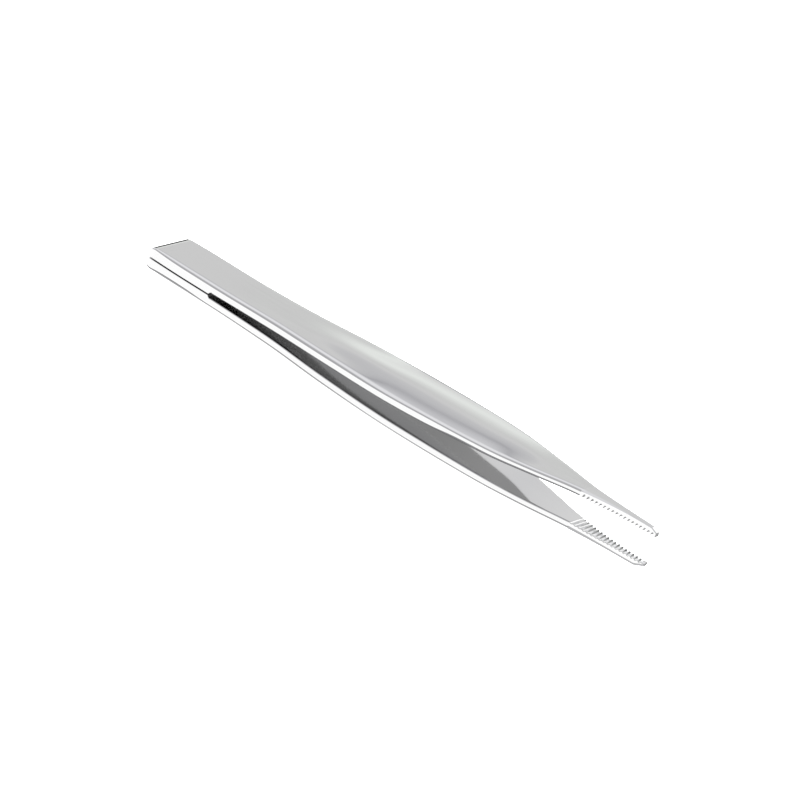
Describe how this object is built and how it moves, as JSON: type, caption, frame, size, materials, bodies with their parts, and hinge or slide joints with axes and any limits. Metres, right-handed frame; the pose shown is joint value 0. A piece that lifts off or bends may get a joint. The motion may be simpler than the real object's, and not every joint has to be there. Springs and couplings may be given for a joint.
{
  "type": "tweezers",
  "caption": "Steel tweezers: two sprung arms spot-welded at the tail, with crowned finger grips and narrow jaws whose cross serrations mesh when squeezed.",
  "frame": {"origin": "middle of the tool's length, on the plane in which the two arms mirror each other", "axes": "+X from the tail to the tips, +Y across the arms, +Z from the lower arm to the upper arm, along the squeeze"},
  "size_m": [0.095, 0.0144, 0.007],
  "materials": {
    "steel": "satin-polished stainless steel with fine lengthwise brushing",
    "weld_metal": "as-welded steel, dull, hidden between the tails"
  },
  "bodies": {
    "tails": {"upper_arm_tail": "steel", "lower_arm_tail": "steel", "weld_front": "weld_metal", "weld_rear": "weld_metal"},
    "upper_blade": {"upper_arm_blade": "steel"},
    "lower_blade": {"lower_arm_blade": "steel"}
  },
  "joints": [
    {"name": "upper_arm_flex", "type": "hinge", "parent": "tails", "child": "upper_blade", "pos_m": [-0.0209, 0, 0.00135], "axis": [0, 1, 0], "range_deg": [0, 1.88], "stiffness_Nm_per_rad": 2.3},
    {"name": "lower_arm_flex", "type": "hinge", "parent": "tails", "child": "lower_blade", "pos_m": [-0.0209, 0, -0.00135], "axis": [0, -1, 0], "range_deg": [0, 1.88], "stiffness_Nm_per_rad": 2.3}
  ],
  "couplings": [
    {"joint": "lower_arm_flex", "follows": "upper_arm_flex", "ratio": 1}
  ]
}
